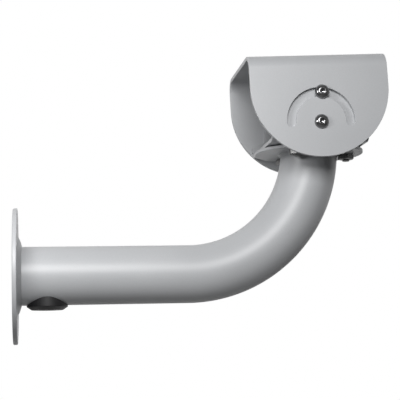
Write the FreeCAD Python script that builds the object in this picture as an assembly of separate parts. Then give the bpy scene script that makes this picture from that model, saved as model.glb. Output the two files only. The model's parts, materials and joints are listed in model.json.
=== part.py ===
import FreeCAD, Part
import math
import os

# Camera bracket: a round wall plate, a bent feed-through arm and a swivel head that pans and tilts.
# Origin: centre of the wall plate's back face. +X runs out along the arm, +Z is up.

V = FreeCAD.Vector
up = V(0, 0, 1)

# Wall plate
plate_d = 103.0
plate_t = 3.4
plate_ease = 0.5
wall_hole_pcd = 78.0
wall_hole_d = 7.0
wall_hole_count = 4
wall_hole_turn = 45.0

# Arm tube, bent upwards to the head
tube_d = 44.5
tube_wall = 2.2
arm_reach = 231.3
bend_r = 98.0

# Weld beads
base_weld_rise = 8.0
base_weld_run = 3.0
flange_weld_leg = 2.0
weld_crown = 0.35

# Rubber plug in the cable entry under the tube
entry_x = 25.5
entry_hole_d = 25.0
plug_rim_d = 31.0
plug_face_d = 23.6
plug_drop = 3.6
plug_rim_t = 1.1
plug_inner_lip_d = 28.6
plug_inner_lip_t = 2.0
plug_dish_d = 15.0
plug_dish_depth = 1.0
plug_fit = 0.05

# Round flange on top of the tube and its friction ring
flange_under_z = 93.2
flange_d = 85.0
flange_t = 2.5
flange_ease = 0.35
ring_overhang = 0.8
ring_bore_d = 48.0
ring_t = 0.8

# Swivel bolts through the flange
pan_bolt_circle_r = 30.0
pan_bolt_count = 3
pan_bolt_turn = 0.0
pan_slot_half_angle = 42.0
pan_gap = 0.1

# Quarter-inch fasteners
screw_d = 6.35
hex_flats = 11.1
hex_head_t = 3.97
thin_nut_t = 3.97
full_nut_t = 5.5
washer_d = 12.7
washer_t = 0.8
button_head_d = 11.1
button_head_h = 3.35
button_rim_h = 0.4
button_crown_d = 5.55
button_shoulder_d = 9.32
button_shoulder_h = 2.21
socket_flats = 3.97
socket_depth = 2.1
socket_point_depth = 1.0
pan_bolt_length = 12.7
cross_screw_length = 12.7
tip_chamfer = 0.6
hex_chamfer = 0.5
thread_fit = 0.03
hole_play = 0.25
slot_play = 0.325
pivot_fit = 0.07

# Yoke: a folded U whose walls slope up from its ends and neck in to round lugs for the cross screws
sheet_t = 3.0
yoke_length = 75.0
yoke_bend_in_r = 3.0
yoke_end_height = 9.4
yoke_end_slope = 20.0
yoke_neck_r = 4.0
yoke_lug_r = 27.0
yoke_lug_rise = 5.0
yoke_cable_d = 40.0

# Saddle: a folded sheet over the yoke, with half-round cheeks
saddle_width = 95.0
saddle_length = 107.0
saddle_bend_out_r = 17.6
saddle_offset = 0.6
pivot_z = 110.8
saddle_top_rise = 53.6
saddle_arc_rise = 26.8
lock_radius = 22.9
lock_lean = 2.7
lock_half_angle = 90.0
saddle_rest_tilt = 2.0
cheek_gap = 0.3
head_gap = 0.1
seat_slot_near = 14.0
seat_slot_far = 40.0

# Worked out from the sizes above
tube_r = tube_d / 2
bore_r = tube_r - tube_wall
flange_top_z = flange_under_z + flange_t
ring_top_z = flange_top_z + ring_t
ring_d = yoke_length + 2 * ring_overhang
yoke_z = ring_top_z + pan_gap
yoke_top_z = yoke_z + sheet_t
washer_z = yoke_top_z + pan_gap
bolt_seat_z = washer_z + washer_t
screw_r = screw_d / 2
slot_r = screw_r + slot_play
saddle_half = saddle_width / 2
yoke_half = saddle_half - sheet_t - cheek_gap
head_axis = V(arm_reach, 0, 0)
pivot = V(arm_reach, 0, pivot_z)
lock = pivot + V(math.sin(math.radians(lock_lean)), 0, math.cos(math.radians(lock_lean))) * lock_radius
saddle_centre_x = arm_reach + saddle_offset
saddle_top_z = pivot_z + saddle_top_rise
saddle_arc_z = pivot_z + saddle_arc_rise
span = 2 * saddle_width


def cylinder(radius, low, high):
    """A round bar along +Z between two heights, on the Z axis."""
    return Part.makeCylinder(radius, high - low, V(0, 0, low))


def upright_at(shape, x, y):
    shape.translate(V(x, y, 0))
    return shape


def closed_face(edges):
    return Part.Face(Part.Wire(edges))


def lines(points):
    """Straight edges that join the points in turn."""
    return [Part.LineSegment(a, b).toShape() for a, b in zip(points, points[1:])]


def arc(a, middle, b):
    return Part.Arc(a, middle, b).toShape()


def polar(radius, degrees):
    turn = math.radians(degrees)
    return V(radius * math.cos(turn), radius * math.sin(turn), 0)


def revolved(edges):
    """A solid of revolution about Z from a profile in the XZ plane."""
    return closed_face(edges).revolve(V(0, 0, 0), up, 360)


def eased_disc(radius, bore, low, high, ease):
    """A disc with a bore, its outer edges eased at 45 degrees."""
    disc = cylinder(radius, low, high)
    rims = [e for e in disc.Edges if len(e.Vertexes) == 1]
    return disc.makeChamfer(ease, rims).cut(cylinder(bore, low - 1, high + 1))


def hexagon(flats, low, high):
    """A hexagonal bar along +Z with two flats that face along Y."""
    corner = flats / math.sqrt(3)
    points = [polar(corner, 60 * i) + V(0, 0, low) for i in range(7)]
    return Part.Face(Part.makePolygon(points)).extrude(V(0, 0, high - low))


def chamfered_hexagon(flats, low, high, both):
    """A hexagon whose corners are turned off at the top, and at the foot too if both is true."""
    corner = flats / math.sqrt(3)
    small = corner - 2 * hex_chamfer
    foot = [V(small, 0, low), V(corner, 0, low + hex_chamfer)] if both else [V(corner, 0, low)]
    head = [V(corner, 0, high - hex_chamfer), V(small, 0, high), V(0, 0, high)]
    profile = [V(0, 0, low)] + foot + head + [V(0, 0, low)]
    return hexagon(flats, low, high).common(revolved(lines(profile)))


def shank(length):
    """A screw's shank below its head's seat at height 0."""
    tip = screw_r - tip_chamfer
    return revolved(lines([V(0, 0, 0), V(screw_r, 0, 0), V(screw_r, 0, -length + tip_chamfer),
                           V(tip, 0, -length), V(0, 0, -length), V(0, 0, 0)]))


def button_screw(length):
    """A button-head screw with a hexagon socket, head above height 0."""
    head_r = button_head_d / 2
    rim = V(head_r, 0, button_rim_h)
    shoulder = V(button_shoulder_d / 2, 0, button_shoulder_h)
    crown = V(button_crown_d / 2, 0, button_head_h)
    profile = lines([crown, V(0, 0, button_head_h), V(0, 0, 0), V(head_r, 0, 0), rim])
    head = revolved(profile + [arc(rim, shoulder, crown)])
    floor = button_head_h - socket_depth
    socket = hexagon(socket_flats, floor, button_head_h + 1)
    drill = Part.makeCone(0, socket_flats / 2, socket_point_depth, V(0, 0, floor - socket_point_depth))
    return head.fuse(shank(length)).cut(socket).cut(drill).removeSplitter()


def hex_bolt(length):
    head = chamfered_hexagon(hex_flats, 0, hex_head_t, False)
    return head.fuse(shank(length)).removeSplitter()


def hex_nut(thickness):
    """A nut that hangs below height 0."""
    blank = chamfered_hexagon(hex_flats, -thickness, 0, True)
    return blank.cut(cylinder(screw_r + thread_fit, -thickness - 1, 1))


def stood(shape, position, direction, turn=0):
    """The shape turned about its own axis, then set with its +Z along the direction."""
    spin = FreeCAD.Rotation(up, turn)
    shape.Placement = FreeCAD.Placement(position, FreeCAD.Rotation(up, direction).multiply(spin))
    return shape


def along_x(radius, low, high):
    return Part.makeCylinder(radius, high - low, V(low, 0, 0), V(1, 0, 0))


def arm_bar(radius):
    """A bar of this radius: a straight run from the plate, then a quarter bend cut off under the flange."""
    bend_x = arm_reach - bend_r
    straight = along_x(radius, plate_t, bend_x)
    section = Part.Face(Part.Wire(Part.makeCircle(radius, V(bend_x, 0, 0), V(1, 0, 0))))
    bend = section.revolve(V(bend_x, 0, bend_r), V(0, -1, 0), 90)
    above = Part.makeBox(span, span, span, V(arm_reach - span / 2, -span / 2, flange_under_z))
    return straight.fuse(bend.cut(above)).removeSplitter()


def make_wall_plate():
    plate = eased_disc(plate_d / 2, bore_r, 0, plate_t, plate_ease)
    for i in range(wall_hole_count):
        spot = polar(wall_hole_pcd / 2, wall_hole_turn + i * 360 / wall_hole_count)
        plate = plate.cut(upright_at(cylinder(wall_hole_d / 2, -1, plate_t + 1), spot.x, spot.y))
    return stood(plate, V(0, 0, 0), V(1, 0, 0))


def weld_bead(radius, rise, run):
    """A fillet bead round a bar of this radius, on a face at height 0, with a slightly full front."""
    toe = V(radius + rise, 0, 0)
    heel = V(radius, 0, run)
    middle = (toe + heel) * 0.5 + V(weld_crown, 0, weld_crown)
    return revolved(lines([heel, V(radius, 0, 0), toe, middle, heel]))


def make_base_weld():
    return stood(weld_bead(tube_r, base_weld_rise, base_weld_run), V(plate_t, 0, 0), V(1, 0, 0))


def make_arm_tube():
    entry = upright_at(cylinder(entry_hole_d / 2, -tube_d, 0), entry_x, 0)
    return arm_bar(tube_r).cut(arm_bar(bore_r)).cut(entry)


def make_cable_plug():
    """A rubber blanking plug: a stepped rim outside, a neck in the wall and a lip inside."""
    face_z = -tube_r - plug_drop
    rim_r = plug_rim_d / 2
    face_r = plug_face_d / 2
    dish_r = plug_dish_d / 2
    rim_z = -tube_r - plug_rim_t
    profile = [V(0, 0, 0), V(rim_r, 0, 0), V(rim_r, 0, rim_z), V(face_r, 0, face_z), V(dish_r, 0, face_z),
               V(dish_r - plug_dish_depth, 0, face_z + plug_dish_depth),
               V(0, 0, face_z + plug_dish_depth), V(0, 0, 0)]
    outside = upright_at(revolved(lines(profile)), entry_x, 0)
    outside = outside.cut(along_x(tube_r + plug_fit, -span, span))
    lip_out_r = bore_r - plug_fit
    lip_in_r = lip_out_r - plug_inner_lip_t
    hollow = along_x(lip_in_r, -span, span)
    neck = upright_at(cylinder(entry_hole_d / 2 - plug_fit, rim_z, 0), entry_x, 0).cut(hollow)
    lip = upright_at(cylinder(plug_inner_lip_d / 2, rim_z, 0), entry_x, 0)
    lip = lip.common(along_x(lip_out_r, -span, span)).cut(hollow)
    return outside.fuse(neck).fuse(lip).removeSplitter()


def pan_spots():
    """Where the swivel bolts stand, with the angle of each."""
    angles = [pan_bolt_turn + i * 360 / pan_bolt_count for i in range(pan_bolt_count)]
    return [(polar(pan_bolt_circle_r, a) + head_axis, a) for a in angles]


def make_flange():
    disc = eased_disc(flange_d / 2, bore_r, flange_under_z, flange_top_z, flange_ease)
    disc.translate(head_axis)
    for spot, _ in pan_spots():
        hole = cylinder(screw_r + hole_play, flange_under_z - 1, flange_top_z + 1)
        disc = disc.cut(upright_at(hole, spot.x, spot.y))
    return disc


def make_flange_weld():
    bead = weld_bead(tube_r - flange_weld_leg, 2 * flange_weld_leg, 2 * flange_weld_leg)
    bead = stood(bead, head_axis + V(0, 0, flange_under_z), V(0, 0, -1))
    return bead.cut(arm_bar(tube_r))


def make_pan_ring():
    ring = cylinder(ring_d / 2, flange_top_z, ring_top_z)
    ring = ring.cut(cylinder(ring_bore_d / 2, flange_top_z - 1, ring_top_z + 1))
    ring.translate(head_axis)
    for spot, _ in pan_spots():
        hole = cylinder(screw_r + hole_play, flange_top_z - 1, ring_top_z + 1)
        ring = ring.cut(upright_at(hole, spot.x, spot.y))
    return ring


def make_washer():
    return cylinder(washer_d / 2, 0, washer_t).cut(cylinder(screw_r + hole_play, -1, washer_t + 1))


def u_section(half, low, high, bend_out_r, thickness):
    """The section of a folded U in the YZ plane, open at the top, as a face at X = 0."""
    in_half = half - thickness
    floor = low + thickness
    bend_in_r = bend_out_r - thickness
    diagonal = math.sqrt(0.5)
    left = V(0, -half + bend_out_r, low + bend_out_r)
    right = V(0, half - bend_out_r, low + bend_out_r)
    out_left = V(0, -half, low + bend_out_r)
    out_right = V(0, half, low + bend_out_r)
    in_left = V(0, -in_half, low + bend_out_r)
    in_right = V(0, in_half, low + bend_out_r)
    foot_left = V(0, -half + bend_out_r, low)
    foot_right = V(0, half - bend_out_r, low)
    floor_left = V(0, -half + bend_out_r, floor)
    floor_right = V(0, half - bend_out_r, floor)
    down_left = V(0, -diagonal, -diagonal)
    down_right = V(0, diagonal, -diagonal)
    edges = lines([out_left, V(0, -half, high), V(0, -in_half, high), in_left])
    edges.append(arc(in_left, left + down_left * bend_in_r, floor_left))
    edges += lines([floor_left, floor_right])
    edges.append(arc(floor_right, right + down_right * bend_in_r, in_right))
    edges += lines([in_right, V(0, in_half, high), V(0, half, high), out_right])
    edges.append(arc(out_right, right + down_right * bend_out_r, foot_right))
    edges += lines([foot_right, foot_left])
    edges.append(arc(foot_left, left + down_left * bend_out_r, out_left))
    return closed_face(edges)


def side_mask(points_and_arcs):
    """A side outline in the XZ plane, carried right across the head."""
    face = closed_face(points_and_arcs)
    face.translate(V(0, -span / 2, 0))
    return face.extrude(V(0, span, 0))


def half_round(centre_x, centre_z, radius, end_z):
    """A straight-sided outline that ends in a half circle on the far side from end_z."""
    outward = 1 if centre_z > end_z else -1
    left = V(centre_x - radius, 0, centre_z)
    right = V(centre_x + radius, 0, centre_z)
    edges = lines([right, V(centre_x + radius, 0, end_z), V(centre_x - radius, 0, end_z), left])
    edges.append(arc(left, V(centre_x, 0, centre_z + outward * radius), right))
    return edges


def yoke_outline():
    """The yoke's side outline: sloping shoulders, hollow necks and a round lug above the pivot."""
    lug_centre = pivot + V(0, 0, yoke_lug_rise)
    slope = math.radians(yoke_end_slope)
    inward = V(-math.cos(slope), 0, math.sin(slope))
    outward = V(math.sin(slope), 0, math.cos(slope))
    end = V(arm_reach + yoke_length / 2, 0, yoke_z + yoke_end_height) - lug_centre
    start = end + outward * yoke_neck_r
    reach = yoke_lug_r + yoke_neck_r
    along = -start.dot(inward) - math.sqrt(start.dot(inward) ** 2 - start.dot(start) + reach ** 2)
    neck = start + inward * along
    shoulder = neck - outward * yoke_neck_r
    root = neck * (yoke_lug_r / reach)
    hollow = (shoulder + root) * 0.5 - neck
    hollow = neck + hollow * (yoke_neck_r / hollow.Length)
    foot = V(end.x, 0, yoke_z - 1 - lug_centre.z)
    right = [lug_centre + p for p in (foot, end, shoulder, hollow, root)]
    left = [lug_centre + V(-p.x, 0, p.z) for p in (foot, end, shoulder, hollow, root)]
    edges = lines(right[:3]) + [arc(*right[2:])]
    edges.append(arc(right[4], lug_centre + V(0, 0, yoke_lug_r), left[4]))
    edges += [arc(*left[:1:-1])] + lines([left[2], left[1], left[0], right[0]])
    return edges


def arc_slot_face(radius, half_width, half_angle):
    """A curved slot centred on angle 0 of the XY plane."""
    inner = radius - half_width
    outer = radius + half_width
    end = polar(radius, half_angle)
    start = polar(radius, -half_angle)
    tangent = polar(half_width, half_angle + 90)
    return closed_face([
        arc(polar(outer, -half_angle), V(outer, 0, 0), polar(outer, half_angle)),
        arc(polar(outer, half_angle), end + tangent, polar(inner, half_angle)),
        arc(polar(inner, half_angle), V(inner, 0, 0), polar(inner, -half_angle)),
        arc(polar(inner, -half_angle), start + polar(half_width, -half_angle - 90), polar(outer, -half_angle)),
    ])


def across(radius, centre):
    """A round cutter right across the head along Y."""
    return Part.makeCylinder(radius, span, V(centre.x, -span / 2, centre.z), V(0, 1, 0))


def make_yoke():
    top = pivot_z + yoke_lug_rise + yoke_lug_r
    section = u_section(yoke_half, yoke_z, top + 1, yoke_bend_in_r + sheet_t, sheet_t)
    section.translate(V(arm_reach - yoke_length / 2, 0, 0))
    yoke = section.extrude(V(yoke_length, 0, 0)).common(side_mask(yoke_outline()))
    cuts = [cylinder(yoke_cable_d / 2, yoke_z - 1, yoke_top_z + 1)]
    slot = arc_slot_face(pan_bolt_circle_r, slot_r, pan_slot_half_angle).extrude(V(0, 0, 3 * sheet_t))
    slot.translate(V(0, 0, yoke_z - sheet_t))
    for i in range(pan_bolt_count):
        cuts.append(slot.copy())
        cuts[-1].rotate(V(0, 0, 0), up, pan_bolt_turn + i * 360 / pan_bolt_count)
    for cut in cuts:
        cut.translate(head_axis)
        yoke = yoke.cut(cut)
    for centre in (pivot, lock):
        yoke = yoke.cut(across(screw_r + hole_play, centre))
    return yoke


def make_saddle():
    below_cheeks = saddle_arc_z - saddle_length
    section = u_section(saddle_half, -saddle_top_z, -below_cheeks, saddle_bend_out_r, sheet_t)
    section.rotate(V(0, 0, 0), V(1, 0, 0), 180)
    section.translate(V(saddle_centre_x - saddle_length / 2, 0, 0))
    folded = section.extrude(V(saddle_length, 0, 0))
    outline = side_mask(half_round(saddle_centre_x, saddle_arc_z, saddle_length / 2, saddle_top_z + 1))
    saddle = folded.common(outline)
    slot = arc_slot_face(lock_radius, slot_r, lock_half_angle)
    slot.rotate(V(0, 0, 0), up, 90)
    slot.rotate(V(0, 0, 0), V(1, 0, 0), 90)
    slot.translate(pivot + V(0, span / 2, 0))
    saddle = saddle.cut(slot.extrude(V(0, -span, 0)))
    saddle = saddle.cut(across(screw_r + pivot_fit, pivot))
    low_z = saddle_top_z - 2 * sheet_t
    high_z = saddle_top_z + sheet_t
    saddle = saddle.cut(upright_at(cylinder(screw_r + hole_play, low_z, high_z), arm_reach, 0))
    for side in (-1, 1):
        near = arm_reach + side * seat_slot_near
        far = arm_reach + side * seat_slot_far
        box = Part.makeBox(abs(far - near), 2 * slot_r, high_z - low_z, V(min(near, far), -slot_r, low_z))
        ends = [upright_at(cylinder(slot_r, low_z, high_z), x, 0) for x in (near, far)]
        saddle = saddle.cut(box.multiFuse(ends))
    saddle.rotate(pivot, V(0, 1, 0), -saddle_rest_tilt)
    return saddle


def cross_fasteners():
    """The pivot and lock screws with their nuts, on the near and far cheeks."""
    found = {}
    for role, centre in (("pivot", pivot), ("lock", lock)):
        for place, side in (("near", -1), ("far", 1)):
            outward = V(0, side, 0)
            seat = centre + outward * (saddle_half + head_gap)
            nut_seat = centre + outward * (yoke_half - sheet_t)
            found[role + "_screw_" + place] = stood(button_screw(cross_screw_length), seat, outward)
            found[role + "_nut_" + place] = stood(hex_nut(full_nut_t), nut_seat, outward)
    return found


def pan_fasteners():
    """The swivel bolts, each with a washer on the yoke and a thin nut under the flange."""
    found = {}
    for i, (spot, angle) in enumerate(pan_spots(), 1):
        turn = angle - 90
        found["pan_bolt_%d" % i] = stood(hex_bolt(pan_bolt_length), spot + V(0, 0, bolt_seat_z), up, turn)
        found["pan_washer_%d" % i] = stood(make_washer(), spot + V(0, 0, washer_z), up)
        found["pan_nut_%d" % i] = stood(hex_nut(thin_nut_t), spot + V(0, 0, flange_under_z), up, turn)
    return found


pieces = {
    "wall_plate": make_wall_plate(),
    "base_weld": make_base_weld(),
    "arm_tube": make_arm_tube(),
    "cable_plug": make_cable_plug(),
    "flange_disc": make_flange(),
    "flange_weld": make_flange_weld(),
    "pan_ring": make_pan_ring(),
    "yoke": make_yoke(),
    "saddle": make_saddle(),
}
pieces.update(pan_fasteners())
pieces.update(cross_fasteners())

os.makedirs("parts", exist_ok=True)
for name, shape in pieces.items():
    shape.exportStep("parts/" + name + ".step")
    print(name, len(shape.Solids), shape.isValid(), round(shape.Volume, 1))
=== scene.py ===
import json
import math
import bmesh
import bpy
from mathutils import Matrix, Vector


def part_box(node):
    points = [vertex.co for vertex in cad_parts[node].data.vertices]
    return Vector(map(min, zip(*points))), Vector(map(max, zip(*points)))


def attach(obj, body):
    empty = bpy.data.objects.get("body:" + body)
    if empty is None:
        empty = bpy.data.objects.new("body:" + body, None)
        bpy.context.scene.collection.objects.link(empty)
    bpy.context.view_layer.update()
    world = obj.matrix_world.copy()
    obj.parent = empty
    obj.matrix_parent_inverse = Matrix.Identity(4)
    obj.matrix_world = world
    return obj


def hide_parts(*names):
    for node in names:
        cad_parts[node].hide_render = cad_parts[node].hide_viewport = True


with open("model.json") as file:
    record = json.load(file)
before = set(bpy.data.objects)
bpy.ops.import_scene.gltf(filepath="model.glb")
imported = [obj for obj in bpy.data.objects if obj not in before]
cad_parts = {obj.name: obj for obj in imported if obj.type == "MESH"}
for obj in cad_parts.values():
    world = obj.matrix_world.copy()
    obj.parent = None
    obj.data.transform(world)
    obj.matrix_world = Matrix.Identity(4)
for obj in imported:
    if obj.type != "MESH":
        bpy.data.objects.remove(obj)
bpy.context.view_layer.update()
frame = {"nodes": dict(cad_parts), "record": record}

scene = bpy.context.scene
mm = 0.001
jointPlace = {joint["name"]: joint["pos_m"] for joint in frame["record"]["behaviour"]["joints"]}
headAxisX = jointPlace["head_pan"][0]
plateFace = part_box("wall_plate")[1][0]
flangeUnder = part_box("flange_disc")[0][2]
print("frame loaded")


# Small helpers for node trees
def addNode(tree, kind, **settings):
    node = tree.nodes.new(kind)
    for key, value in settings.items():
        setattr(node, key, value)
    return node


def joinSockets(tree, source, target):
    tree.links.new(source, target)
    return target


def mathNode(tree, operation, *values, clamp=False):
    node = addNode(tree, "ShaderNodeMath", operation=operation, use_clamp=clamp)
    for socket, value in zip(node.inputs, values):
        if isinstance(value, bpy.types.NodeSocket):
            joinSockets(tree, value, socket)
        else:
            socket.default_value = value
    return node.outputs[0]


def mixColours(tree, factor, first, second):
    node = addNode(tree, "ShaderNodeMix", data_type="RGBA")
    for socket, value in zip((node.inputs[0], node.inputs[6], node.inputs[7]), (factor, first, second)):
        if isinstance(value, bpy.types.NodeSocket):
            joinSockets(tree, value, socket)
        else:
            socket.default_value = value
    return node.outputs[2]


def newGroup(name, inputs, outputs):
    group = bpy.data.node_groups.new(name, "ShaderNodeTree")
    for label, kind, value in inputs:
        socket = group.interface.new_socket(label, in_out="INPUT", socket_type=kind)
        if value is not None:
            socket.default_value = value
    for label, kind in outputs:
        group.interface.new_socket(label, in_out="OUTPUT", socket_type=kind)
    return group, addNode(group, "NodeGroupInput"), addNode(group, "NodeGroupOutput")


# Powder coat: grain of cured powder, soft orange peel and a slow drift of tone
def makeCoatGrain():
    group, entry, leave = newGroup(
        "coatGrain",
        [("Vector", "NodeSocketVector", None), ("Grain Scale", "NodeSocketFloat", 1500.0),
         ("Peel Scale", "NodeSocketFloat", 420.0), ("Drift Scale", "NodeSocketFloat", 14.0)],
        [("Tone", "NodeSocketFloat"), ("Roughness", "NodeSocketFloat"), ("Height", "NodeSocketFloat")])
    def noise(scaleName, detail, roughness):
        node = addNode(group, "ShaderNodeTexNoise")
        joinSockets(group, entry.outputs["Vector"], node.inputs["Vector"])
        joinSockets(group, entry.outputs[scaleName], node.inputs["Scale"])
        node.inputs["Detail"].default_value = detail
        node.inputs["Roughness"].default_value = roughness
        return node.outputs["Fac"]
    grain = noise("Grain Scale", 2.0, 0.6)
    peel = noise("Peel Scale", 1.0, 0.4)
    drift = noise("Drift Scale", 3.0, 0.5)
    fleck = mathNode(group, "MULTIPLY_ADD", grain, 0.5, 0.75)
    sway = mathNode(group, "MULTIPLY_ADD", drift, 0.5, 0.75)
    tone = mathNode(group, "MULTIPLY", fleck, sway)
    joinSockets(group, mathNode(group, "MULTIPLY_ADD", tone, 1.0, -0.5, clamp=True), leave.inputs["Tone"])
    rough = mathNode(group, "MULTIPLY_ADD", grain, 0.6, mathNode(group, "MULTIPLY", drift, 0.4))
    joinSockets(group, rough, leave.inputs["Roughness"])
    height = mathNode(group, "MULTIPLY_ADD", grain, 0.45, mathNode(group, "MULTIPLY", peel, 0.55))
    joinSockets(group, height, leave.inputs["Height"])
    return group


# Turned metal: fine rings and hairlines with a faint stain
def makeMetalMarks():
    group, entry, leave = newGroup(
        "metalMarks",
        [("Vector", "NodeSocketVector", None), ("Line Scale", "NodeSocketFloat", 5000.0),
         ("Stain Scale", "NodeSocketFloat", 350.0)],
        [("Mark", "NodeSocketFloat"), ("Stain", "NodeSocketFloat"), ("Height", "NodeSocketFloat")])
    line = addNode(group, "ShaderNodeTexNoise")
    stretch = addNode(group, "ShaderNodeVectorMath", operation="MULTIPLY")
    joinSockets(group, entry.outputs["Vector"], stretch.inputs[0])
    stretch.inputs[1].default_value = (0.12, 0.12, 1.0)
    joinSockets(group, stretch.outputs[0], line.inputs["Vector"])
    joinSockets(group, entry.outputs["Line Scale"], line.inputs["Scale"])
    line.inputs["Detail"].default_value = 2.0
    stain = addNode(group, "ShaderNodeTexNoise")
    joinSockets(group, entry.outputs["Vector"], stain.inputs["Vector"])
    joinSockets(group, entry.outputs["Stain Scale"], stain.inputs["Scale"])
    stain.inputs["Detail"].default_value = 4.0
    joinSockets(group, line.outputs["Fac"], leave.inputs["Mark"])
    joinSockets(group, stain.outputs["Fac"], leave.inputs["Stain"])
    joinSockets(group, line.outputs["Fac"], leave.inputs["Height"])
    return group


coatGrain = makeCoatGrain()
metalMarks = makeMetalMarks()


def newMaterial(name):
    material = bpy.data.materials.new(name)
    material.use_nodes = True
    tree = material.node_tree
    tree.nodes.clear()
    shader = addNode(tree, "ShaderNodeBsdfPrincipled")
    output = addNode(tree, "ShaderNodeOutputMaterial")
    joinSockets(tree, shader.outputs[0], output.inputs["Surface"])
    place = addNode(tree, "ShaderNodeTexCoord")
    return material, tree, shader, place.outputs["Object"]


def spread(tree, value, low, high):
    node = addNode(tree, "ShaderNodeMapRange")
    joinSockets(tree, value, node.inputs["Value"])
    node.inputs["From Min"].default_value = 0.3
    node.inputs["From Max"].default_value = 0.7
    node.inputs["To Min"].default_value = low
    node.inputs["To Max"].default_value = high
    return node.outputs["Result"]


def addBump(tree, shader, height, strength, distance):
    bump = addNode(tree, "ShaderNodeBump")
    bump.inputs["Strength"].default_value = strength
    bump.inputs["Distance"].default_value = distance
    joinSockets(tree, height, bump.inputs["Height"])
    joinSockets(tree, bump.outputs["Normal"], shader.inputs["Normal"])


coatLook = {
    "light": (0.575, 0.585, 0.60, 1.0),
    "dark": (0.505, 0.515, 0.53, 1.0),
    "roughness": (0.355, 0.435),
    "bump": 0.22,
    "bumpDepth": 0.05 * mm,
    "gloss": 0.62,
}


def makePowderCoat(name, grainScale, look=coatLook):
    material, tree, shader, place = newMaterial(name)
    group = addNode(tree, "ShaderNodeGroup", node_tree=coatGrain)
    joinSockets(tree, place, group.inputs["Vector"])
    group.inputs["Grain Scale"].default_value = grainScale
    tone = spread(tree, group.outputs["Tone"], 0.0, 1.0)
    joinSockets(tree, mixColours(tree, tone, look["dark"], look["light"]), shader.inputs["Base Color"])
    low, high = look["roughness"]
    joinSockets(tree, spread(tree, group.outputs["Roughness"], low, high), shader.inputs["Roughness"])
    shader.inputs["Specular IOR Level"].default_value = look["gloss"]
    addBump(tree, shader, group.outputs["Height"], look["bump"], look["bumpDepth"])
    return material


def makeSteel(name, light, dark, roughness, bump):
    material, tree, shader, place = newMaterial(name)
    group = addNode(tree, "ShaderNodeGroup", node_tree=metalMarks)
    joinSockets(tree, place, group.inputs["Vector"])
    joinSockets(tree, mixColours(tree, spread(tree, group.outputs["Stain"], 0.0, 1.0), dark, light),
                shader.inputs["Base Color"])
    joinSockets(tree, spread(tree, group.outputs["Mark"], *roughness), shader.inputs["Roughness"])
    shader.inputs["Metallic"].default_value = 1.0
    addBump(tree, shader, group.outputs["Height"], bump, 0.01 * mm)
    return material


def makeDullPlastic(name, light, dark, roughness, grainScale, bump):
    material, tree, shader, place = newMaterial(name)
    group = addNode(tree, "ShaderNodeGroup", node_tree=coatGrain)
    joinSockets(tree, place, group.inputs["Vector"])
    group.inputs["Grain Scale"].default_value = grainScale
    joinSockets(tree, mixColours(tree, spread(tree, group.outputs["Tone"], 0.0, 1.0), dark, light),
                shader.inputs["Base Color"])
    joinSockets(tree, spread(tree, group.outputs["Roughness"], *roughness), shader.inputs["Roughness"])
    addBump(tree, shader, group.outputs["Height"], bump, 0.04 * mm)
    return material


powderCoat = makePowderCoat("powderCoat", 1500.0)
brightSteel = makeSteel("brightSteel", (0.33, 0.33, 0.335, 1), (0.21, 0.21, 0.215, 1), (0.14, 0.24), 0.15)
platedSteel = makeSteel("platedSteel", (0.30, 0.30, 0.30, 1), (0.20, 0.20, 0.20, 1), (0.42, 0.55), 0.25)
blackRubber = makeDullPlastic("blackRubber", (0.014, 0.014, 0.015, 1), (0.007, 0.007, 0.008, 1),
                              (0.40, 0.55), 900.0, 0.25)
blackNylon = makeDullPlastic("blackNylon", (0.035, 0.035, 0.035, 1), (0.02, 0.02, 0.02, 1),
                             (0.45, 0.6), 1200.0, 0.2)
print("materials made")


# Meshes
def newObject(name, mesh, material=None):
    thing = bpy.data.objects.new(name, mesh)
    scene.collection.objects.link(thing)
    if material:
        mesh.materials.clear()
        mesh.materials.append(material)
    return thing


def finishMesh(thing, material):
    # what the modifiers make becomes the piece's own plain mesh
    bpy.context.view_layer.update()
    result = bpy.data.meshes.new_from_object(thing.evaluated_get(bpy.context.evaluated_depsgraph_get()))
    result.name = thing.name
    thing.modifiers.clear()
    thing.data = result
    result.materials.clear()
    result.materials.append(material)
    result.polygons.foreach_set("material_index", [0] * len(result.polygons))
    return thing


def mergedCopy(nodeName, pieceName):
    mesh = frame["nodes"][nodeName].data.copy()
    mesh.name = pieceName
    form = bmesh.new()
    form.from_mesh(mesh)
    bmesh.ops.remove_doubles(form, verts=form.verts, dist=0.002 * mm)
    bmesh.ops.dissolve_limit(form, angle_limit=math.radians(0.4), verts=form.verts, edges=form.edges)
    form.to_mesh(mesh)
    form.free()
    return newObject(pieceName, mesh)


# A sheet or turned piece with its solid's shape, its edges rounded over
def easedPiece(nodeName, pieceName, material, edge, segments=3, sharp=28.0, reshape=None):
    thing = mergedCopy(nodeName, pieceName)
    if reshape:
        reshape(thing.data)
    thing.data.shade_smooth()
    bevel = thing.modifiers.new("edges", "BEVEL")
    bevel.width = edge
    bevel.segments = segments
    bevel.limit_method = "ANGLE"
    bevel.angle_limit = math.radians(sharp)
    bevel.use_clamp_overlap = False
    bevel.miter_outer = "MITER_ARC"
    weighted = thing.modifiers.new("flatFaces", "WEIGHTED_NORMAL")
    weighted.mode = "FACE_AREA"
    weighted.weight = 100
    return finishMesh(thing, material)


def settle(thing, body, slotName, *nodes):
    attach(thing, body)
    if nodes:
        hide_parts(*nodes)
    return thing


# Geometry nodes
def newTree(name, inputs):
    tree = bpy.data.node_groups.new(name, "GeometryNodeTree")
    tree.is_modifier = True
    tree.interface.new_socket("Geometry", in_out="INPUT", socket_type="NodeSocketGeometry")
    for label, kind, value in inputs:
        socket = tree.interface.new_socket(label, in_out="INPUT", socket_type=kind)
        if value is not None:
            socket.default_value = value
    tree.interface.new_socket("Geometry", in_out="OUTPUT", socket_type="NodeSocketGeometry")
    return tree, addNode(tree, "NodeGroupInput"), addNode(tree, "NodeGroupOutput")


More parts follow.
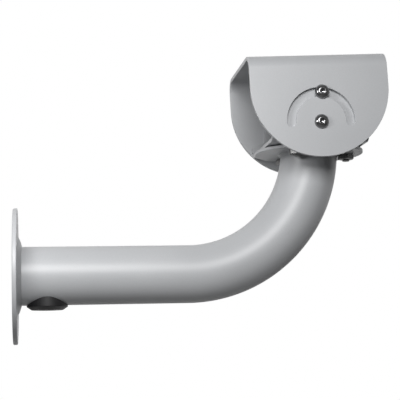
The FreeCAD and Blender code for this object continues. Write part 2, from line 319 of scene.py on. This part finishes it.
def endTree(tree, entry, leave, geometry):
    real = addNode(tree, "GeometryNodeRealizeInstances")
    finish = addNode(tree, "GeometryNodeSetMaterial")
    joinSockets(tree, geometry, real.inputs[0])
    joinSockets(tree, real.outputs[0], finish.inputs["Geometry"])
    joinSockets(tree, entry.outputs["Material"], finish.inputs["Material"])
    joinSockets(tree, finish.outputs[0], leave.inputs[0])


def useTree(thing, tree, **values):
    modifier = thing.modifiers.new(tree.name, "NODES")
    modifier.node_group = tree
    for socket in tree.interface.items_tree:
        label = socket.name.replace(" ", "")
        label = label[:1].lower() + label[1:]
        if socket.in_out == "INPUT" and label in values:
            modifier[socket.identifier] = values[label]
    return modifier


# Arm tube: a round tube swept along a straight run and a quarter bend
armSizes = {
    "start": plateFace, "reach": headAxisX, "bendRadius": 98 * mm, "top": flangeUnder,
    "outerRadius": 22.25 * mm, "wall": 2.2 * mm, "around": 128, "runSteps": 26, "bendSteps": 72,
}


def makeSweepTree():
    tree, entry, leave = newTree("sweptTube", [
        ("Outer Radius", "NodeSocketFloat", 0.02), ("Wall", "NodeSocketFloat", 0.002),
        ("Around", "NodeSocketInt", 64), ("Material", "NodeSocketMaterial", None)])
    path = addNode(tree, "GeometryNodeMeshToCurve")
    joinSockets(tree, entry.outputs["Geometry"], path.inputs["Mesh"])
    inner = mathNode(tree, "SUBTRACT", entry.outputs["Outer Radius"], entry.outputs["Wall"])
    both = addNode(tree, "GeometryNodeJoinGeometry")
    for radius, turned in ((entry.outputs["Outer Radius"], False), (inner, True)):
        ring = addNode(tree, "GeometryNodeCurvePrimitiveCircle")
        joinSockets(tree, entry.outputs["Around"], ring.inputs["Resolution"])
        joinSockets(tree, radius, ring.inputs["Radius"])
        sweep = addNode(tree, "GeometryNodeCurveToMesh")
        joinSockets(tree, path.outputs[0], sweep.inputs["Curve"])
        joinSockets(tree, ring.outputs["Curve"], sweep.inputs["Profile Curve"])
        skin = sweep.outputs[0]
        if turned:
            flip = addNode(tree, "GeometryNodeFlipFaces")
            joinSockets(tree, skin, flip.inputs[0])
            skin = flip.outputs[0]
        joinSockets(tree, skin, both.inputs[0])
    endTree(tree, entry, leave, both.outputs[0])
    return tree


def makeArmTube(sizes):
    bendStart = sizes["reach"] - sizes["bendRadius"]
    points = [Vector((sizes["start"] + (bendStart - sizes["start"]) * i / sizes["runSteps"], 0, 0))
              for i in range(sizes["runSteps"])]
    for i in range(sizes["bendSteps"] + 1):
        turn = math.pi / 2 * i / sizes["bendSteps"]
        points.append(Vector((bendStart + sizes["bendRadius"] * math.sin(turn), 0,
                              sizes["bendRadius"] * (1 - math.cos(turn)))))
    mesh = bpy.data.meshes.new("armTube")
    mesh.from_pydata(points, [(i, i + 1) for i in range(len(points) - 1)], [])
    thing = newObject("armTube", mesh)
    useTree(thing, makeSweepTree(), outerRadius=sizes["outerRadius"], wall=sizes["wall"],
            around=sizes["around"], material=powderCoat)
    finishMesh(thing, powderCoat)
    form = bmesh.new()
    form.from_mesh(thing.data)
    bmesh.ops.bisect_plane(form, geom=form.verts[:] + form.edges[:] + form.faces[:], dist=1e-7,
                           plane_co=(0, 0, sizes["top"]), plane_no=(0, 0, 1), clear_outer=True)
    for test in (lambda p: abs(p.z - sizes["top"]) < 1e-6, lambda p: abs(p.x - sizes["start"]) < 1e-6):
        rim = [e for e in form.edges if e.is_boundary and all(test(v.co) for v in e.verts)]
        bmesh.ops.bridge_loops(form, edges=rim)
    bmesh.ops.recalc_face_normals(form, faces=form.faces)
    form.to_mesh(thing.data)
    form.free()
    thing.data.shade_smooth()
    thing.data.set_sharp_from_angle(angle=math.radians(40))
    return settle(thing, "arm", "powder_coat", "arm_tube")


makeArmTube(armSizes)
print("arm tube made")


# Weld beads: a fillet swept round the tube, with the ripples that the puddle leaves
beadMarks = {"swayScale": 260.0, "swayShift": 1.1, "stopAt": 0.25, "stopNarrowness": 70.0}


def makeBeadTree():
    tree, entry, leave = newTree("weldBead", [
        ("Radius", "NodeSocketFloat", 0.02), ("Steps", "NodeSocketInt", 600),
        ("Profile", "NodeSocketObject", None), ("Ripples", "NodeSocketFloat", 80.0),
        ("Ripple Height", "NodeSocketFloat", 0.0001), ("Waver", "NodeSocketFloat", 0.0001),
        ("Stop Height", "NodeSocketFloat", 0.0), ("Material", "NodeSocketMaterial", None)])
    ring = addNode(tree, "GeometryNodeCurvePrimitiveCircle")
    joinSockets(tree, entry.outputs["Steps"], ring.inputs["Resolution"])
    joinSockets(tree, entry.outputs["Radius"], ring.inputs["Radius"])
    along = addNode(tree, "GeometryNodeSplineParameter")
    keep = addNode(tree, "GeometryNodeCaptureAttribute")
    keep.capture_items.new("FLOAT", "Along")
    joinSockets(tree, ring.outputs["Curve"], keep.inputs[0])
    joinSockets(tree, along.outputs["Factor"], keep.inputs[1])
    section = addNode(tree, "GeometryNodeObjectInfo")
    joinSockets(tree, entry.outputs["Profile"], section.inputs["Object"])
    sweep = addNode(tree, "GeometryNodeCurveToMesh")
    joinSockets(tree, keep.outputs[0], sweep.inputs["Curve"])
    outline = addNode(tree, "GeometryNodeMeshToCurve")
    joinSockets(tree, section.outputs["Geometry"], outline.inputs["Mesh"])
    joinSockets(tree, outline.outputs[0], sweep.inputs["Profile Curve"])
    place = addNode(tree, "GeometryNodeInputPosition")
    noise = addNode(tree, "ShaderNodeTexNoise")
    joinSockets(tree, place.outputs[0], noise.inputs["Vector"])
    noise.inputs["Scale"].default_value = beadMarks["swayScale"]
    sway = mathNode(tree, "SUBTRACT", noise.outputs["Fac"], 0.5)
    phase = mathNode(tree, "MULTIPLY", keep.outputs[1], entry.outputs["Ripples"])
    phase = mathNode(tree, "ADD", phase, mathNode(tree, "MULTIPLY", sway, beadMarks["swayShift"]))
    wave = mathNode(tree, "ABSOLUTE", mathNode(tree, "SINE", mathNode(tree, "MULTIPLY", phase, math.pi)))
    lift = mathNode(tree, "MULTIPLY", wave, entry.outputs["Ripple Height"])
    lift = mathNode(tree, "ADD", lift, mathNode(tree, "MULTIPLY", sway, entry.outputs["Waver"]))
    # a small lump where the bead was stopped
    near = mathNode(tree, "SUBTRACT", keep.outputs[1], beadMarks["stopAt"])
    near = mathNode(tree, "MULTIPLY", near, beadMarks["stopNarrowness"])
    fall = mathNode(tree, "MULTIPLY", mathNode(tree, "MULTIPLY", near, near), -1.0)
    bell = mathNode(tree, "EXPONENT", fall)
    lift = mathNode(tree, "ADD", lift, mathNode(tree, "MULTIPLY", bell, entry.outputs["Stop Height"]))
    normal = addNode(tree, "GeometryNodeInputNormal")
    push = addNode(tree, "ShaderNodeVectorMath", operation="SCALE")
    joinSockets(tree, normal.outputs[0], push.inputs[0])
    joinSockets(tree, lift, push.inputs["Scale"])
    move = addNode(tree, "GeometryNodeSetPosition")
    joinSockets(tree, sweep.outputs[0], move.inputs["Geometry"])
    joinSockets(tree, push.outputs[0], move.inputs["Offset"])
    endTree(tree, entry, leave, move.outputs[0])
    return tree


beadTree = makeBeadTree()


def makeWeld(name, sizes, placement, *nodes):
    # the profile stands in the XY plane: x outwards from the tube, y away from the plate or flange
    rise, run, crown = sizes["rise"], sizes["run"], sizes["crown"]
    outline = [Vector((0, 0, 0)), Vector((rise, 0, 0))]
    for i in range(1, 10):
        t = i / 10
        across = Vector((rise * (1 - t), run * t, 0))
        across += Vector((run, rise, 0)).normalized() * crown * math.sin(math.pi * t)
        outline.append(across)
    outline.append(Vector((0, run, 0)))
    profile = bpy.data.meshes.new(name + "Profile")
    count = len(outline)
    profile.from_pydata(outline, [(i, (i + 1) % count) for i in range(count)], [])
    guide = newObject(name + "Profile", profile)
    mesh = bpy.data.meshes.new(name)
    mesh.from_pydata([(0, 0, 0)], [], [])
    thing = newObject(name, mesh)
    useTree(thing, beadTree, radius=sizes["radius"], steps=sizes["steps"], profile=guide,
            ripples=sizes["ripples"], rippleHeight=sizes["rippleHeight"], waver=sizes["waver"],
            stopHeight=sizes["stopHeight"], material=powderCoat)
    finishMesh(thing, powderCoat)
    bpy.data.objects.remove(guide)
    thing.data.transform(placement)
    form = bmesh.new()
    form.from_mesh(thing.data)
    bmesh.ops.remove_doubles(form, verts=form.verts, dist=0.001 * mm)
    bmesh.ops.recalc_face_normals(form, faces=form.faces)
    form.to_mesh(thing.data)
    form.free()
    thing.data.shade_smooth()
    thing.data.set_sharp_from_angle(angle=math.radians(55))
    return settle(thing, "arm", "powder_coat", *nodes)


baseWeld = {
    "radius": 22.2 * mm, "rise": 7.7 * mm, "run": 2.9 * mm, "crown": 0.25 * mm, "steps": 720,
    "ripples": 78.0, "rippleHeight": 0.14 * mm, "waver": 0.22 * mm, "stopHeight": 0.35 * mm,
}
flangeWeld = {
    "radius": 22.2 * mm, "rise": 2.0 * mm, "run": 2.0 * mm, "crown": 0.2 * mm, "steps": 720,
    "ripples": 96.0, "rippleHeight": 0.1 * mm, "waver": 0.14 * mm, "stopHeight": 0.12 * mm,
}
onPlate = Matrix.Translation((plateFace - 0.02 * mm, 0, 0)) @ Matrix.Rotation(-math.pi / 2, 4, "Y")
onFlange = Matrix.Translation((headAxisX, 0, flangeUnder + 0.02 * mm))
makeWeld("baseWeld", baseWeld, onPlate @ Matrix.Rotation(-math.pi / 2, 4, "Z"), "base_weld")
makeWeld("flangeWeld", flangeWeld, onFlange, "flange_weld")
print("welds made")


# Saddle: its two long folds drawn in to the radius that the photograph shows
saddleSizes = {"bend": 11.5 * mm, "restTilt": -2.0, "edge": 0.35 * mm}


def tightenFolds(mesh, sizes=saddleSizes):
    pivot = Matrix.Translation(jointPlace["head_tilt"])
    level = pivot @ Matrix.Rotation(math.radians(-sizes["restTilt"]), 4, "Y") @ pivot.inverted()
    mesh.transform(level)
    half = max(v.co.y for v in mesh.vertices)
    top = max(v.co.z for v in mesh.vertices)
    solidBend = half - max(v.co.y for v in mesh.vertices if v.co.z > top - 0.001 * mm)
    drawIn = solidBend - sizes["bend"]
    for v in mesh.vertices:
        side = 1 if v.co.y > 0 else -1
        out = Vector((side * v.co.y - (half - solidBend), v.co.z - (top - solidBend)))
        if min(out) > -0.001 * mm:  # only what lies on a fold
            placed = Vector((half - sizes["bend"], top - sizes["bend"])) + out * (1 - drawIn / out.length)
            v.co.y, v.co.z = side * placed.x, placed.y
    mesh.transform(level.inverted())


# Sheet metal, plates and the ring
settle(easedPiece("wall_plate", "wallPlate", powderCoat, 0.28 * mm), "arm", "powder_coat", "wall_plate")
settle(easedPiece("flange_disc", "flangeDisc", powderCoat, 0.2 * mm), "arm", "powder_coat", "flange_disc")
settle(easedPiece("yoke", "yokeSheet", powderCoat, 0.3 * mm), "swivel", "powder_coat", "yoke")
settle(easedPiece("saddle", "saddleSheet", powderCoat, saddleSizes["edge"], reshape=tightenFolds),
       "head", "powder_coat", "saddle")
settle(easedPiece("pan_ring", "panRing", blackNylon, 0.08 * mm, 2), "arm", "nylon_ring", "pan_ring")
settle(easedPiece("cable_plug", "cablePlug", blackRubber, 0.3 * mm), "arm", "rubber_plug", "cable_plug")
print("sheets, plate and plug made")


# Fasteners: rolled threads, hexagons turned off at their corners, and button heads with a socket
threadSizes = {
    "radius": 3.175 * mm, "rootRadius": 2.62 * mm, "pitch": 1.27 * mm, "length": 12.7 * mm,
    "tipChamfer": 0.6 * mm, "intoHead": 0.1 * mm, "around": 40, "perPitch": 8,
}
hexSizes = {
    "flats": 11.1 * mm, "chamfer": 0.5 * mm, "chamferSteps": 6, "around": 96, "boltHead": 3.97 * mm,
    "thinNut": 3.97 * mm, "fullNut": 5.5 * mm, "bore": 3.25 * mm, "boreChamfer": 0.35 * mm,
}
buttonSizes = {
    "radius": 5.55 * mm, "height": 3.35 * mm, "rimHeight": 0.4 * mm, "seatEase": 0.25 * mm,
    "crownRadius": 2.775 * mm, "shoulderRadius": 4.66 * mm, "shoulderHeight": 2.21 * mm, "domeSteps": 14,
    "socketFlats": 3.97 * mm, "socketDepth": 2.1 * mm, "socketEase": 0.16 * mm, "pointDepth": 1.0 * mm,
    "pointRadius": 1.7 * mm, "around": 96,
}
washerSizes = {"inner": 3.43 * mm, "outer": 6.35 * mm, "thick": 0.8 * mm, "ease": 0.12 * mm, "around": 72}


def circleRing(radius, height, count):
    turns = [2 * math.pi * i / count for i in range(count)]
    return [Vector((radius * math.cos(turn), radius * math.sin(turn), height)) for turn in turns]


def hexRing(flats, height, count, limit=1.0):
    # a ring on a hexagon whose flats face along Y, cut back to a circle of the radius limit
    ring = []
    for i in range(count):
        turn = 2 * math.pi * i / count
        fromFlat = (turn + math.pi / 3) % (math.pi / 3) - math.pi / 6
        radius = min(flats / 2 / math.cos(fromFlat), limit)
        ring.append(Vector((radius * math.cos(turn), radius * math.sin(turn), height)))
    return ring


def addRings(form, rings, closed=True):
    loops = [[form.verts.new(p) for p in ring] for ring in rings]
    for first, second in zip(loops, loops[1:]):
        count = len(first)
        for i in range(count):
            form.faces.new((first[i], first[(i + 1) % count], second[(i + 1) % count], second[i]))
    if closed:
        form.faces.new(loops[0])
        form.faces.new(loops[-1])


def addThread(form, sizes):
    # a screw thread below height 0, with a chamfered tip
    top, bottom = sizes["intoHead"], -sizes["length"]
    steps = int((top - bottom) / sizes["pitch"] * sizes["perPitch"])
    tipRadius = sizes["radius"] - sizes["tipChamfer"]
    rings = []
    for j in range(steps + 1):
        height = top + (bottom - top) * j / steps
        ring = []
        for i in range(sizes["around"]):
            turn = 2 * math.pi * i / sizes["around"]
            phase = (height / sizes["pitch"] - i / sizes["around"]) % 1.0
            depth = max(0.0, min(1.0, abs(2 * phase - 1) * 1.25 - 0.1))  # flat crests and roots
            radius = sizes["radius"] - (sizes["radius"] - sizes["rootRadius"]) * depth
            radius = min(radius, tipRadius + height - bottom)
            ring.append(Vector((radius * math.cos(turn), radius * math.sin(turn), height)))
        rings.append(ring)
    addRings(form, rings)


def addHexagon(form, sizes, low, high, chamferBelow, bored):
    corner = sizes["flats"] / math.sqrt(3)
    small = corner - 2 * sizes["chamfer"]
    shares = [k / sizes["chamferSteps"] for k in range(sizes["chamferSteps"] + 1)]
    levels = [(small + (corner - small) * share, high - sizes["chamfer"] * share) for share in shares]
    if chamferBelow:
        levels += [(small + (corner - small) * share, low + sizes["chamfer"] * share)
                   for share in reversed(shares)]
    else:
        levels.append((corner, low))
    rings = [hexRing(sizes["flats"], height, sizes["around"], limit) for limit, height in levels]
    if bored:
        bore, ease, count = sizes["bore"], sizes["boreChamfer"], sizes["around"]
        mouth = [circleRing(bore, high - ease, count), circleRing(bore + ease, high, count)]
        foot = [circleRing(bore + ease, low, count), circleRing(bore, low + ease, count)]
        rings = mouth + rings + foot + [mouth[0]]
    addRings(form, rings, closed=not bored)


def addButtonHead(form, sizes):
    # a domed head on height 0, its socket ending in a drill point
    count, ease = sizes["around"], sizes["seatEase"]
    rim = Vector((sizes["radius"], sizes["rimHeight"]))
    crown = Vector((sizes["crownRadius"], sizes["height"]))
    control = Vector((sizes["shoulderRadius"], sizes["shoulderHeight"])) * 2 - (rim + crown) * 0.5
    profile = [(sizes["pointRadius"], 0), (sizes["radius"] - ease, 0),
               (sizes["radius"] - ease * 0.3, ease * 0.3), (sizes["radius"], ease)]
    for k in range(sizes["domeSteps"] + 1):
        t = k / sizes["domeSteps"]
        profile.append(rim * (1 - t) ** 2 + control * 2 * t * (1 - t) + crown * t ** 2)
    rings = [circleRing(radius, height, count) for radius, height in profile]
    top, flats = sizes["height"], sizes["socketFlats"]
    floor = top - sizes["socketDepth"]
    rings += [hexRing(flats * 1.1, top, count), hexRing(flats, top - sizes["socketEase"], count),
              hexRing(flats, floor, count), circleRing(sizes["pointRadius"], floor - 0.1 * mm, count),
              circleRing(0.1 * mm, floor - sizes["pointDepth"], count)]
    addRings(form, rings)


def addWasher(form, sizes):
    inner, outer, thick, ease = (sizes[key] for key in ("inner", "outer", "thick", "ease"))
    outline = [(inner, ease), (inner + ease, 0), (outer - ease, 0), (outer, ease), (outer, thick - ease),
               (outer - ease, thick), (inner + ease, thick), (inner, thick - ease), (inner, ease)]
    rings = [circleRing(radius, height, sizes["around"]) for radius, height in outline]
    addRings(form, rings, closed=False)


def formMesh(name, *makers):
    form = bmesh.new()
    for maker in makers:
        part = bmesh.new()
        maker(part)
        bmesh.ops.remove_doubles(part, verts=part.verts, dist=0.0005 * mm)
        bmesh.ops.recalc_face_normals(part, faces=part.faces)
        scrap = bpy.data.meshes.new("scrap")
        part.to_mesh(scrap)
        part.free()
        form.from_mesh(scrap)
        bpy.data.meshes.remove(scrap)
    mesh = bpy.data.meshes.new(name)
    form.to_mesh(mesh)
    form.free()
    mesh.shade_smooth()
    mesh.set_sharp_from_angle(angle=math.radians(32))
    return mesh


def makeSetTree():
    tree, entry, leave = newTree("fastenerSet", [
        ("Fastener", "NodeSocketObject", None), ("Material", "NodeSocketMaterial", None)])
    model = addNode(tree, "GeometryNodeObjectInfo")
    joinSockets(tree, entry.outputs["Fastener"], model.inputs["Object"])
    turn = addNode(tree, "GeometryNodeInputNamedAttribute", data_type="FLOAT_VECTOR")
    turn.inputs["Name"].default_value = "turn"
    put = addNode(tree, "GeometryNodeInstanceOnPoints")
    joinSockets(tree, entry.outputs["Geometry"], put.inputs["Points"])
    joinSockets(tree, model.outputs["Geometry"], put.inputs["Instance"])
    joinSockets(tree, turn.outputs["Attribute"], put.inputs["Rotation"])
    endTree(tree, entry, leave, put.outputs[0])
    return tree


setTree = makeSetTree()


def makeSet(name, mesh, spots, material, body, *nodes):
    # one fastener set at each spot: a place and an Euler turn
    model = newObject(name + "Model", mesh, material)
    points = bpy.data.meshes.new(name)
    points.from_pydata([place for place, turn in spots], [], [])
    thing = newObject(name, points)
    turns = points.attributes.new("turn", "FLOAT_VECTOR", "POINT")
    for i, (place, turn) in enumerate(spots):
        turns.data[i].vector = turn
    useTree(thing, setTree, fastener=model, material=material)
    finishMesh(thing, material)
    bpy.data.objects.remove(model)
    return settle(thing, body, "stainless", *nodes)


def middleOf(node):
    low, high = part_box(node)
    return [(a + b) / 2 for a, b in zip(low, high)]


# Pan bolts stand through the yoke and the flange, on a circle round the arm's upright end
def makePanSet(name, kind, mesh, heightOf):
    nodes = [kind + "_" + str(i) for i in (1, 2, 3)]
    spots = []
    for node in nodes:
        x, y, z = middleOf(node)
        turn = math.atan2(y, x - headAxisX) - math.pi / 2
        spots.append(((x, y, heightOf(*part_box(node))), (0, 0, turn)))
    makeSet(name, mesh, spots, platedSteel, "arm", *nodes)


def makePanFasteners():
    head = hexSizes["boltHead"]
    bolt = formMesh("hexBolt", lambda f: addHexagon(f, hexSizes, 0, head, False, False),
                    lambda f: addThread(f, threadSizes))
    nut = formMesh("thinNut", lambda f: addHexagon(f, hexSizes, -hexSizes["thinNut"], 0, True, True))
    makePanSet("panBolts", "pan_bolt", bolt, lambda low, high: high[2] - head)
    makePanSet("panWashers", "pan_washer", formMesh("washer", lambda f: addWasher(f, washerSizes)),
               lambda low, high: low[2])
    makePanSet("panNuts", "pan_nut", nut, lambda low, high: high[2])


# Cross screws go through both cheeks of the head, with a nut inside
crossTurns = {"pivot": 20, "lock": 48}


def makeCrossFasteners():
    button = formMesh("buttonScrew", lambda f: addButtonHead(f, buttonSizes),
                      lambda f: addThread(f, threadSizes))
    nut = formMesh("fullNut", lambda f: addHexagon(f, hexSizes, -hexSizes["fullNut"], 0, True, True))
    for role, spin in crossTurns.items():
        for place, side in (("near", -1), ("far", 1)):
            inwards = Matrix.Rotation(-side * math.pi / 2, 3, "X")
            turn = inwards @ Matrix.Rotation(math.radians(spin), 3, "Z")
            for kind, mesh, material, inset in (("screw", button, brightSteel, buttonSizes["height"]),
                                                ("nut", nut, platedSteel, 0)):
                node = "_".join((role, kind, place))
                x, y, z = middleOf(node)
                outermost = max(abs(corner[1]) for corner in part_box(node))
                spot = ((x, side * (outermost - inset), z), tuple(turn.to_euler()))
                name = role + kind.capitalize() + place.capitalize()
                makeSet(name, mesh, [spot], material, "swivel", node)


makePanFasteners()
makeCrossFasteners()
print("fasteners made")


# Floor, backdrop and light
studio = {
    "floorDrop": 0.42, "floorReach": 12.0, "floorColour": (0.80, 0.80, 0.80, 1),
    "bounceColour": (0.30, 0.30, 0.30, 1), "nearGlow": 0.3, "glowReach": (1.0, 3.5),
    "frontLevel": 0.2, "frontReach": (-0.05, 0.25),
    "keyPlace": (0.063, -0.767, 0.353), "keyAim": (0.14, 0.0, 0.06),
    "keySize": (0.34, 0.34), "keyPower": 4.46,
    "sidePlace": (-0.066, -0.224, 0.142), "sideAim": (0.14, 0.0, 0.06),
    "sideSize": (0.095, 0.095), "sidePower": 0.39,
    "rearPlace": (0.16, 0.95, 0.13), "rearAim": (0.14, 0.0, 0.07),
    "rearSize": (0.4, 0.18), "rearPower": 3.6,
}


def whatIsSeen(tree, along, values):
    # the camera and glass see a white room, glossy surfaces a white backdrop and a dim room before it
    path = addNode(tree, "ShaderNodeLightPath")
    parts = addNode(tree, "ShaderNodeSeparateXYZ")
    joinSockets(tree, along, parts.inputs[0])
    back = addNode(tree, "ShaderNodeMapRange")
    joinSockets(tree, parts.outputs["Y"], back.inputs["Value"])
    back.inputs["From Min"].default_value, back.inputs["From Max"].default_value = values["frontReach"]
    back.inputs["To Min"].default_value = values["frontLevel"]
    back.inputs["To Max"].default_value = 1.0
    glossy = mathNode(tree, "MULTIPLY", path.outputs["Is Glossy Ray"], back.outputs["Result"])
    return mathNode(tree, "MAXIMUM", glossy, mathNode(
        tree, "MAXIMUM", path.outputs["Is Camera Ray"], path.outputs["Is Transmission Ray"]))


def makeFloor(values):
    reach, height = values["floorReach"], -values["floorDrop"]
    corners = [(x * reach, y * reach, height) for x, y in ((-1, -1), (1, -1), (1, 1), (-1, 1))]
    mesh = bpy.data.meshes.new("studioFloor")
    mesh.from_pydata(corners, [], [(0, 1, 2, 3)])
    material, tree, shader, place = newMaterial("studioFloor")
    seen = whatIsSeen(tree, place, values)
    joinSockets(tree, mixColours(tree, seen, values["bounceColour"], values["floorColour"]),
                shader.inputs["Base Color"])
    shader.inputs["Roughness"].default_value = 0.9
    shader.inputs["Specular IOR Level"].default_value = 0.0
    away = addNode(tree, "ShaderNodeVectorMath", operation="LENGTH")
    joinSockets(tree, place, away.inputs[0])
    far = addNode(tree, "ShaderNodeMapRange")
    joinSockets(tree, away.outputs["Value"], far.inputs["Value"])
    far.inputs["From Min"].default_value, far.inputs["From Max"].default_value = values["glowReach"]
    far.inputs["To Min"].default_value = values["nearGlow"]
    far.inputs["To Max"].default_value = 1.0
    glow = mathNode(tree, "MULTIPLY", seen, far.outputs["Result"])
    white = mixColours(tree, glow, (0, 0, 0, 1), (1, 1, 1, 1))
    joinSockets(tree, white, shader.inputs["Emission Color"])
    shader.inputs["Emission Strength"].default_value = 1.0
    # from below, the floor is clear
    mixed = addNode(tree, "ShaderNodeMixShader")
    joinSockets(tree, addNode(tree, "ShaderNodeNewGeometry").outputs["Backfacing"], mixed.inputs[0])
    joinSockets(tree, shader.outputs[0], mixed.inputs[1])
    joinSockets(tree, addNode(tree, "ShaderNodeBsdfTransparent").outputs[0], mixed.inputs[2])
    joinSockets(tree, mixed.outputs[0], tree.nodes["Material Output"].inputs["Surface"])
    newObject("studioFloor", mesh, material)


def makeWorld(values):
    world = bpy.data.worlds.new("studio")
    scene.world = world
    world.use_nodes = True
    tree = world.node_tree
    tree.nodes.clear()
    seen = whatIsSeen(tree, addNode(tree, "ShaderNodeTexCoord").outputs["Object"], values)
    background = addNode(tree, "ShaderNodeBackground")
    joinSockets(tree, mixColours(tree, seen, (0, 0, 0, 1), (1, 1, 1, 1)), background.inputs["Color"])
    output = addNode(tree, "ShaderNodeOutputWorld")
    joinSockets(tree, background.outputs[0], output.inputs["Surface"])


def makeLamp(name, place, aim, size, power):
    lamp = bpy.data.lights.new(name, "AREA")
    lamp.shape = "RECTANGLE"
    lamp.size, lamp.size_y = size
    lamp.energy = power
    thing = bpy.data.objects.new(name, lamp)
    scene.collection.objects.link(thing)
    thing.visible_camera = False
    thing.visible_glossy = name != "rearBox"  # the rear lamp only lifts the far side
    thing.location = place
    thing.rotation_euler = (Vector(aim) - Vector(place)).to_track_quat("-Z", "Y").to_euler()


makeFloor(studio)
makeWorld(studio)
for role in ("key", "side", "rear"):
    makeLamp(role + "Box", *(studio[role + part] for part in ("Place", "Aim", "Size", "Power")))
print("studio made")


# Camera, at the photograph's place and angle
cameraValues = {
    "place": (0.0204, -0.9169, -0.0585), "yaw": 7.663, "pitch": 7.149, "roll": -1.264, "lens": 107.87,
}


def makeCamera(values):
    yaw, pitch, roll = (math.radians(values[k]) for k in ("yaw", "pitch", "roll"))
    forward = Vector((math.sin(yaw) * math.cos(pitch), math.cos(yaw) * math.cos(pitch), math.sin(pitch)))
    right = Vector((math.cos(yaw), -math.sin(yaw), 0))
    up = right.cross(forward)
    tiltedRight = right * math.cos(roll) + up * math.sin(roll)
    tiltedUp = up * math.cos(roll) - right * math.sin(roll)
    lens = bpy.data.cameras.new("photoCamera")
    lens.lens = values["lens"]
    lens.sensor_width = 36.0
    lens.clip_start = 0.01
    thing = bpy.data.objects.new("photoCamera", lens)
    scene.collection.objects.link(thing)
    turn = Matrix((tiltedRight, tiltedUp, -forward)).transposed().to_4x4()
    thing.matrix_world = Matrix.Translation(values["place"]) @ turn
    scene.camera = thing


makeCamera(cameraValues)
scene.view_settings.view_transform = "Standard"
print("camera set")
